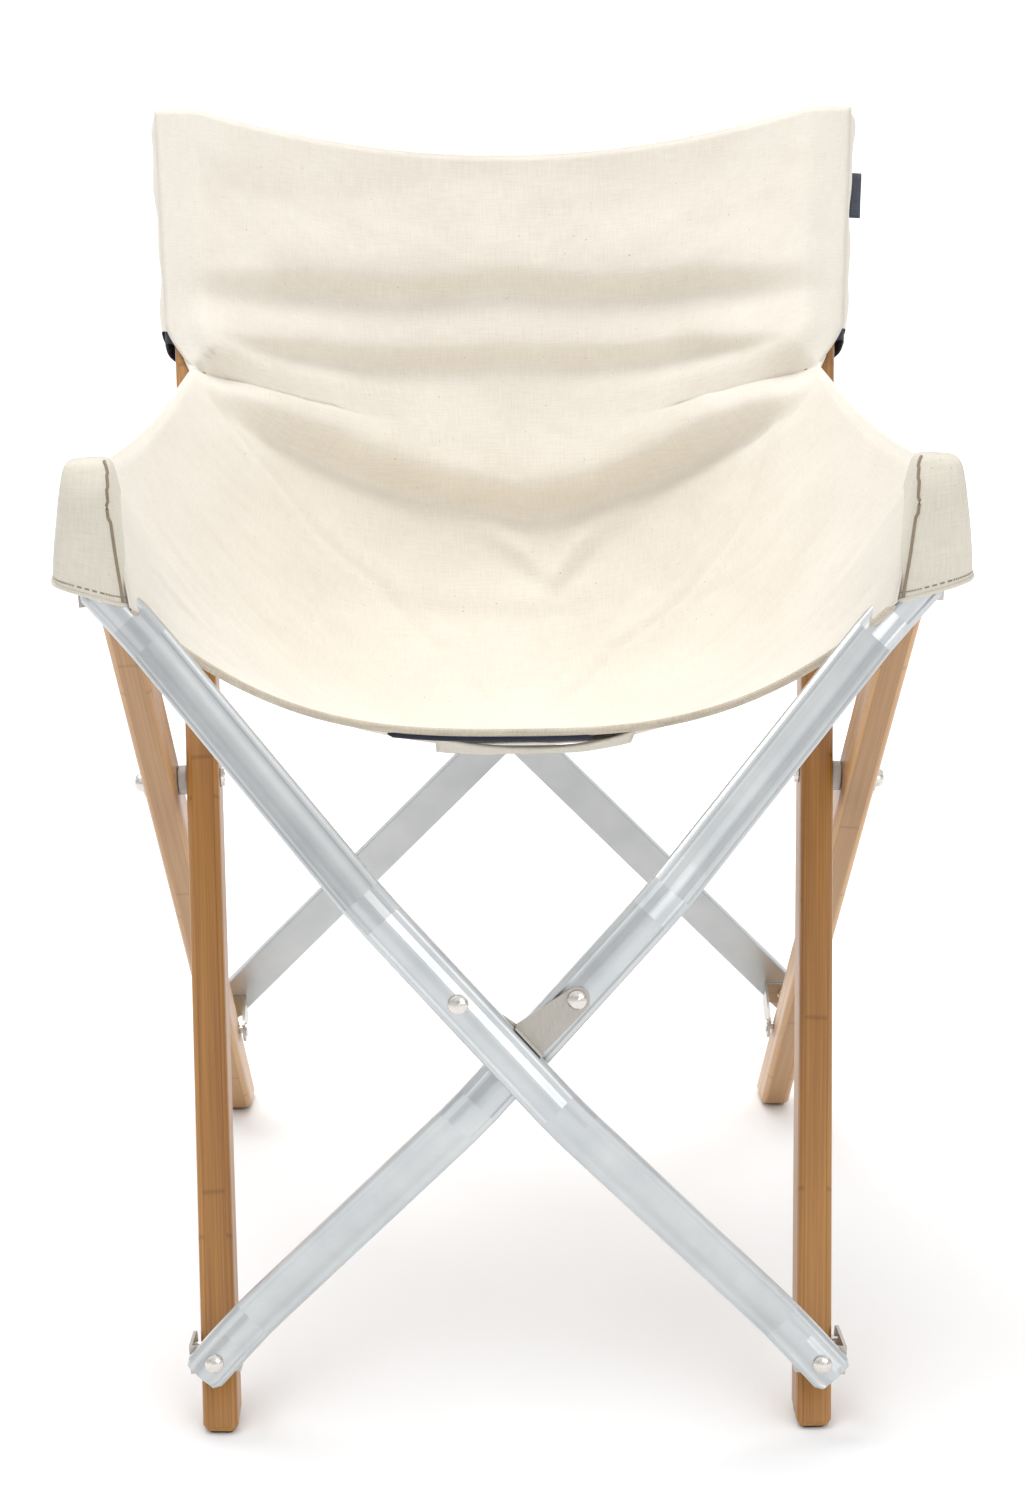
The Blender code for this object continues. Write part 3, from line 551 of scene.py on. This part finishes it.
def seam_depth(across, share, line):
    """How far a seam draws the cloth in, over the whole grid, with a low ridge beside it."""
    nearest = np.full(across.shape, 9.0)
    for (ax, ay), (bx, by) in zip(line, line[1:]):
        px, py = (across - ax) * HALF_WIDTH, (share - ay) * RUN
        dx, dy = (bx - ax) * HALF_WIDTH, (by - ay) * RUN
        t = np.clip((px * dx + py * dy) / (dx * dx + dy * dy), 0, 1)
        nearest = np.minimum(nearest, np.hypot(px - t * dx, py - t * dy))
    ridge = 0.0012 * np.exp(-((nearest - 0.010) / 0.007) ** 2)
    return ridge - 0.0016 * np.exp(-(nearest / 0.0035) ** 2)


def sling_grid(rows, columns):
    """The finished sling's points and their normals."""
    across = np.linspace(-1, 1, columns + 1)[None, :].repeat(rows + 1, 0)
    share = np.linspace(0, 1, rows + 1)[:, None].repeat(columns + 1, 1)
    points = np.array([[tuple(sling_base(float(share[i, 0]), float(across[0, j])))
                        for j in range(columns + 1)] for i in range(rows + 1)])
    lift = sum(roll_height(across, share, roll) for roll in ROLLS)
    lift += sum(seam_depth(across, share, seam) for seam in GUSSETS)
    for i in range(rows + 1):
        for j in range(columns + 1):
            x, y = across[i, j] * HALF_WIDTH, share[i, j] * RUN
            soft = noise.fractal(Vector((x * 9, y * 13, 0.3)), 0.7, 2.1, 4)
            fine = noise.fractal(Vector((x * 42, y * 30, 1.7)), 0.8, 2.0, 3)
            lift[i, j] += 0.0016 * soft + 0.0004 * fine
    held = np.clip((1 - np.abs(across)) / 0.16, 0, 1)
    held = held * held * (3 - 2 * held)
    held *= np.clip((1 - share) / 0.05, 0, 1) * np.clip(share / 0.04, 0, 1)
    normal = np.cross(np.gradient(points, axis=1), np.gradient(points, axis=0))
    normal /= np.linalg.norm(normal, axis=2)[..., None] + 1e-12
    if normal[rows // 2, columns // 2][2] < 0:
        normal = -normal
    return points + normal * (lift * held)[..., None], normal


surface, surface_normal = sling_grid(SLING_ROWS, SLING_COLUMNS)


def on_sling(across, share, lift=0.0):
    """A point of the finished sling, raised off its upper face."""
    i = min(max(share, 0.0), 1.0) * SLING_ROWS
    j = (min(max(across, -1.0), 1.0) + 1) / 2 * SLING_COLUMNS
    a, b = min(int(i), SLING_ROWS - 1), min(int(j), SLING_COLUMNS - 1)
    u, v = i - a, j - b
    result = Vector((0, 0, 0))
    for grid, scale in ((surface, 1.0), (surface_normal, lift)):
        top = grid[a, b] * (1 - v) + grid[a, b + 1] * v
        low = grid[a + 1, b] * (1 - v) + grid[a + 1, b + 1] * v
        result += Vector(top * (1 - u) + low * u) * scale
    return result


def along_sling(start, end, count, lift):
    """Points of the sling from one (across, share) to another."""
    return [on_sling(start[0] + (end[0] - start[0]) * k / count,
                     start[1] + (end[1] - start[1]) * k / count, lift) for k in range(count + 1)]


def tube(name, path, radius, material, sides=10):
    """A soft round edge along a path, with its ends drawn to a point."""
    grid = []
    for k, point in enumerate(path):
        ahead = path[min(k + 1, len(path) - 1)] - path[max(k - 1, 0)]
        across = ahead.cross(Vector((0, 0, 1)))
        across = across.normalized() if across.length > 1e-9 else Vector((1, 0, 0))
        over = across.cross(ahead).normalized()
        size = radius * (0.25 if k in (0, len(path) - 1) else 1.0)
        grid.append([point + across * (size * math.cos(a)) + over * (size * math.sin(a))
                     for a in (2 * math.pi * n / sides for n in range(sides))])
    return cloth_object(name, grid, material, wrap=True)


def stitch(bm, start, end, thick):
    """One six-sided stitch with narrow ends."""
    ahead = (end - start).normalized()
    side = ahead.orthogonal().normalized()
    over = ahead.cross(side)
    rings = []
    for place, size in ((0.0, 0.3), (0.2, 1.0), (0.8, 1.0), (1.0, 0.3)):
        middle = start.lerp(end, place)
        rings.append([bm.verts.new(middle + (side * math.cos(a) + over * math.sin(a)) * thick * size)
                      for a in (math.pi * n / 3 for n in range(6))])
    for r, q in zip(rings, rings[1:]):
        for n in range(6):
            bm.faces.new((r[n], r[(n + 1) % 6], q[(n + 1) % 6], q[n])).smooth = True
    bm.faces.new(rings[0][::-1])
    bm.faces.new(rings[-1])


def stitches(name, line, material, gap=0.0014, length=0.0028, thick=0.0004, lift=0.0002):
    """A row of stitches along a line of (across, share) points on the sling."""
    places = [between([Vector((a, s, 0)) for a, s in line], k / 400) for k in range(401)]
    path = [on_sling(p.x, p.y, lift) for p in places]
    bm = bmesh.new()
    bm.loops.layers.uv.new("cloth")
    walked = 0.0
    start = None
    for near, far in zip(path, path[1:]):
        walked += (far - near).length
        if start is None and walked >= gap:
            start = far
            walked = 0.0
        elif start is not None and walked >= length:
            stitch(bm, start, far, thick)
            start = None
            walked = 0.0
    return mesh_object(name, bm, material)


sling_parts = [
    cloth_object("sling_panel", [[Vector(p) for p in row] for row in surface], canvas, -CLOTH),
    tube("hem", along_sling((-0.995, 1), (0.995, 1), 160, -0.0006), 0.0027, hem_cloth),
    tube("top_roll", along_sling((-0.97, 0), (0.97, 0), 100, -0.0006), 0.0020, canvas),
]
for side, word in SIDES:
    arm_line = along_sling((side, 0.275), (side, 0.805), 60, -0.0006)
    sling_parts.append(tube(f"arm_roll_{word}", arm_line, 0.0018, canvas))
for k, line in enumerate(THREAD_LINES):
    sling_parts.append(stitches(f"stitches_{k}", line, thread_white))
sling = join("canvas_sling_cloth", sling_parts)
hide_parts("canvas_sling")
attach(sling, "right_long")
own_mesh(sling)


# ------------------------------------------------------------------ under layer of the seat
# A second strip of canvas, in the darker canvas of painted shade, hangs just under the front hem, with a dark
# navy strip along its fold.

LAYER_LEFT = -0.050
LAYER_WIDE = 0.130
LAYER_DEEP = 0.085
LAYER_DROP = 0.0100
LAYER_ROWS = 12
LAYER_COLUMNS = 30

layer_grid = []
for i in range(LAYER_ROWS + 1):
    deep = i / LAYER_ROWS
    row = []
    for j in range(LAYER_COLUMNS + 1):
        x = LAYER_LEFT + LAYER_WIDE * j / LAYER_COLUMNS
        across = x / HALF_WIDTH
        drop = LAYER_DROP * math.sin(math.pi * j / LAYER_COLUMNS) ** 0.6 * (1 - deep) ** 2 + 0.0024
        y = on_sling(across, 1.0).y + 0.002 + LAYER_DEEP * deep
        row.append(Vector((x, y, on_sling(across, 1.0 - 0.13 * deep).z - drop)))
    layer_grid.append(row)
dark_strip_line = [point + Vector((0, 0.0008, 0)) for point in along_sling((-0.34, 1), (0.22, 1), 40, -0.0042)]
layer = join("canvas_under_cloth", [
    cloth_object("under_strip", layer_grid, canvas_painted_shade, 0.0014),
    tube("under_edge", layer_grid[0], 0.0014, canvas_painted_shade),
    tube("under_dark_strip", dark_strip_line, 0.0022, binding_navy),
])
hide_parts("canvas_under_layer")
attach(layer, "front_link")


# ------------------------------------------------------------------ post sleeves
# Canvas tubes closed at the top, pulled down over the back posts. The open lower end is bound
# with dark tape, and a small woven tag is caught in the right sleeve's outer seam.

SLEEVE_INNER = -0.0190
SLEEVE_OUTER = 0.0208
SLEEVE_BACK = -0.0205
SLEEVE_FRONT = 0.0216
SLEEVE_TOP = LONG_LENGTH + 0.0075
SLEEVE_SLANT = 0.024        # the inner edge hangs this much lower
TOP_ROUND = 0.085           # share of the sleeve taken by its rounded top
BAND_STEP = 0.0045
TAG_TOP = 0.922
TAG_LONG = 0.034
TAG_WIDE = 0.0085


def rounded(out_low, out_high, front_low, front_high, corner, count=40):
    """A rounded rectangle, as (out, front) points."""
    centre = ((out_low + out_high) / 2, (front_low + front_high) / 2)
    half = ((out_high - out_low) / 2, (front_high - front_low) / 2)
    points = []
    for k in range(count):
        angle = 2 * math.pi * k / count
        c, s = math.cos(angle), math.sin(angle)
        points.append((centre[0] + half[0] * math.copysign(abs(c) ** corner, c),
                       centre[1] + half[1] * math.copysign(abs(s) ** corner, s)))
    return points


def closed_top(ring, shares):
    """Rings that close a tube's first ring towards its middle."""
    middle = sum(ring, Vector()) / len(ring)
    return [[point.lerp(middle, share) for point in ring] for share in shares]


def sleeve_end(out):
    """Where the slanting lower end lies along the post, at that place across it."""
    return SLEEVE_END - SLEEVE_SLANT * (SLEEVE_OUTER - out) / 0.040


for side, word in SIDES:
    grid = []
    for k in range(49):
        t = k / 48
        top = max(0.0, 1 - t / TOP_ROUND)
        size = 0.05 + 0.95 * math.sqrt(1 - top ** 2)
        soft = 0.0008 * math.sin(9 * t + side) + 0.0006 * math.sin(23 * t)
        row = []
        for out, front in rounded(SLEEVE_INNER, SLEEVE_OUTER + soft, SLEEVE_BACK, SLEEVE_FRONT, 0.55):
            s = SLEEVE_TOP + (sleeve_end(out) - SLEEVE_TOP) * t
            row.append(long_place(side, s, front * (0.35 + 0.65 * size),
                                  0.001 + (out - 0.001) * (0.55 + 0.45 * size)))
        grid.append(row[::side])
    band = []
    for k in range(4):
        band.append([long_place(side, sleeve_end(out) + 0.006 - BAND_STEP * k, front - 0.0006 * k, out)
                     for out, front in rounded(-0.0178, 0.0192, -0.0190, 0.0196, 0.55)][::side])
    parts = [
        cloth_object(f"sleeve_{word}", closed_top(grid[0], (0.98, 0.6, 0.25)) + grid, canvas, wrap=True),
        cloth_object(f"sleeve_binding_{word}", band, binding_navy, -0.0011, wrap=True),
    ]
    stands_for = [f"{word}_post_sleeve"]
    if side > 0:
        flap = [[long_place(1, TAG_TOP - TAG_LONG * i / 8, 0.004 + 0.0006 * math.sin(i),
                            0.0195 + TAG_WIDE * j / 3) for j in range(4)] for i in range(9)]
        parts.append(cloth_object("side_tag", flap, tag_weave, 0.0012))
        stands_for.append("canvas_side_tag")
    piece = join(f"canvas_sleeve_{word}", parts)
    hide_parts(*stands_for)
    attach(piece, f"{word}_long")


# ------------------------------------------------------------------ arm pockets
# Canvas pockets pulled over the arm ends, wider at their open lower edge, which is turned up
# and stitched; they are in the darker canvas of painted shade. A seam joins each to the sling, with a
# dark brown cord along it that is partly the seam and partly painted shade of the cloth's edge there.

# From the closed top down: height in the side frame, then its front, back, outer and inner faces.
POCKET = [
    (0.6240, 0.0170, 0.0270, 0.0100, -0.0080),
    (0.6215, 0.0095, 0.0330, 0.0140, -0.0115),
    (0.6160, 0.0040, 0.0390, 0.0165, -0.0135),
    (0.6050, -0.0020, 0.0500, 0.0190, -0.0145),
    (0.5920, -0.0040, 0.0620, 0.0215, -0.0150),
    (0.5750, -0.0020, 0.0740, 0.0245, -0.0160),
    (0.5580, 0.0030, 0.0850, 0.0275, -0.0170),
    (0.5420, 0.0080, 0.0930, 0.0300, -0.0178),
    (0.5320, 0.0105, 0.0980, 0.0310, -0.0180),
]
POCKET_HEIGHTS = [Vector(p[:3]) for p in POCKET]
POCKET_WIDTHS = [Vector((p[3], p[4], 0)) for p in POCKET]
POCKET_ROWS = 44
RIM_SLOPE = 0.36            # the outer lower edge is higher than the inner one


def pocket_row(side, t):
    """One ring of a pocket, with the creases of its front."""
    up, front, back = between(POCKET_HEIGHTS, t)
    outer, inner, _ = between(POCKET_WIDTHS, t)
    row = []
    for out, depth in rounded(inner, outer, -back, -front, 0.42, 64):
        crease = 0.0013 * math.sin(70 * (up * 1.7 + out * 2.2)) * math.sin(math.pi * t)
        crease += 0.0010 * noise.noise(Vector((out * 60, up * 45 + side, depth * 30)))
        push = crease if depth > -(front + back) / 2 else 0.0
        height = up + RIM_SLOPE * t * (out - inner)
        row.append(side_point(side, -depth - push, height, PLY_STEP + out))
    return row[::side]


def dashes(name, ring, side, material):
    """A flat dashed line of thread just off a ring of the pocket."""
    bm = bmesh.new()
    bm.loops.layers.uv.new("cloth")
    for a, b in zip(ring, ring[1:]):
        for start in (0.0, 0.5):
            corners = [a.lerp(b, start + 0.30 * far) + Vector((side * 0.0002, -0.0004, 0.0005 * up))
                       for far, up in ((0, -1), (1, -1), (1, 1), (0, 1))]
            bm.faces.new([bm.verts.new(corner) for corner in corners])
    return mesh_object(name, bm, material)


for side, word in SIDES:
    grid = [pocket_row(side, k / POCKET_ROWS) for k in range(POCKET_ROWS + 1)]
    shell = closed_top(grid[0], (0.98, 0.6, 0.3)) + grid
    seam_shade_line = [min(row, key=lambda p: side * p.x + 1.1 * p.y) for row in grid[3:]]
    piece = join(f"canvas_pocket_painted_shade_{word}", [
        cloth_object(f"pocket_{word}", shell, canvas_painted_shade, -CLOTH, wrap=True),
        tube(f"pocket_rim_{word}", [*grid[-1], grid[-1][0]], 0.0014, canvas_painted_shade, 8),
        # The dark brown cord along the seam is partly the seam and partly painted shade.
        tube(f"pocket_seam_shade_{word}", seam_shade_line, 0.0011, brown_thread_and_seam_shade, 8),
        dashes(f"pocket_stitch_{word}", grid[-4], side, brown_thread_and_seam_shade),
    ])
    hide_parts(f"{word}_arm_pocket")
    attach(piece, f"{word}_short")


# ------------------------------------------------------------------ floor
# A pale paper floor, curved up all round. The profile is distance from the middle and height.

FLOOR_PROFILE = [(6.5, 0.0), (7.2, 0.06), (7.8, 0.30), (8.1, 0.75), (8.2, 1.9)]
FLOOR_SIDES = 96

bm = bmesh.new()
rings = [[bm.verts.new((far * math.cos(a), far * math.sin(a), z))
          for a in (2 * math.pi * k / FLOOR_SIDES for k in range(FLOOR_SIDES))]
         for far, z in FLOOR_PROFILE]
bm.faces.new(rings[0])
for low, high in zip(rings, rings[1:]):
    for k in range(FLOOR_SIDES):
        n = (k + 1) % FLOOR_SIDES
        bm.faces.new((low[k], low[n], high[n], high[k])).smooth = True
material, tree, shader = new_material("studio_paper")
shader.inputs["Base Color"].default_value = (0.94, 0.94, 0.945, 1)
shader.inputs["Roughness"].default_value = 0.95
shader.inputs["Specular IOR Level"].default_value = 0.1
mesh_object("studio_floor", bm, material)


# ------------------------------------------------------------------ light
# A bright ceiling over a darker horizon, which the metal mirrors, with a large soft light
# above, a weak one in front, and a wide one that washes the floor behind.

world = bpy.data.worlds.new("studio")
bpy.context.scene.world = world
world.use_nodes = True
tree = world.node_tree
toward = add(tree, "ShaderNodeSeparateXYZ", {0: add(tree, "ShaderNodeTexCoord").outputs["Generated"]})
height = plus(tree, times(tree, toward.outputs[2], 0.5), 0.5)
sky = ramp(tree, height, (0.42, (0.17, 0.18, 0.185)), (0.58, (0.46, 0.47, 0.48)), (0.80, WHITE))
tree.links.new(sky, tree.nodes["Background"].inputs["Color"])
bpy.context.scene.view_settings.view_transform = "Standard"


def softbox(name, place, aim, width, height, watts):
    light = bpy.data.lights.new(name, "AREA")
    light.shape = "RECTANGLE"
    light.size = width
    light.size_y = height
    light.energy = watts
    item = bpy.data.objects.new(name, light)
    item.location = place
    item.rotation_euler = (Vector(aim) - Vector(place)).to_track_quat("-Z", "Y").to_euler()
    bpy.context.scene.collection.objects.link(item)


softbox("key_top", (-0.4, 0.35, 2.6), (0, 0, 0.4), 1.8, 1.6, 33)
softbox("front_fill", (1.4, -3.2, 1.4), (0, 0, 0.4), 1.6, 1.6, 17)
softbox("back_wash", (0.0, 3.4, 3.2), (0, 5.6, 0.1), 6.0, 2.0, 170)


# ------------------------------------------------------------------ camera
# A little above the back, looking down at the seat, and turned by less than a degree.

camera = bpy.data.objects.new("camera", bpy.data.cameras.new("camera"))
bpy.context.scene.collection.objects.link(camera)
camera.data.sensor_fit = "VERTICAL"
camera.data.sensor_height = 36.0
camera.data.lens = 83.4
camera.data.shift_y = 0.0082
camera.location = (-0.026, -2.353, 0.9205)
tilt = Matrix.Rotation(math.radians(-0.69), 4, "Z") @ Matrix.Rotation(math.radians(76.83), 4, "X")
camera.rotation_euler = (tilt @ Matrix.Rotation(math.radians(-0.24), 4, "Z")).to_euler()
bpy.context.scene.camera = camera
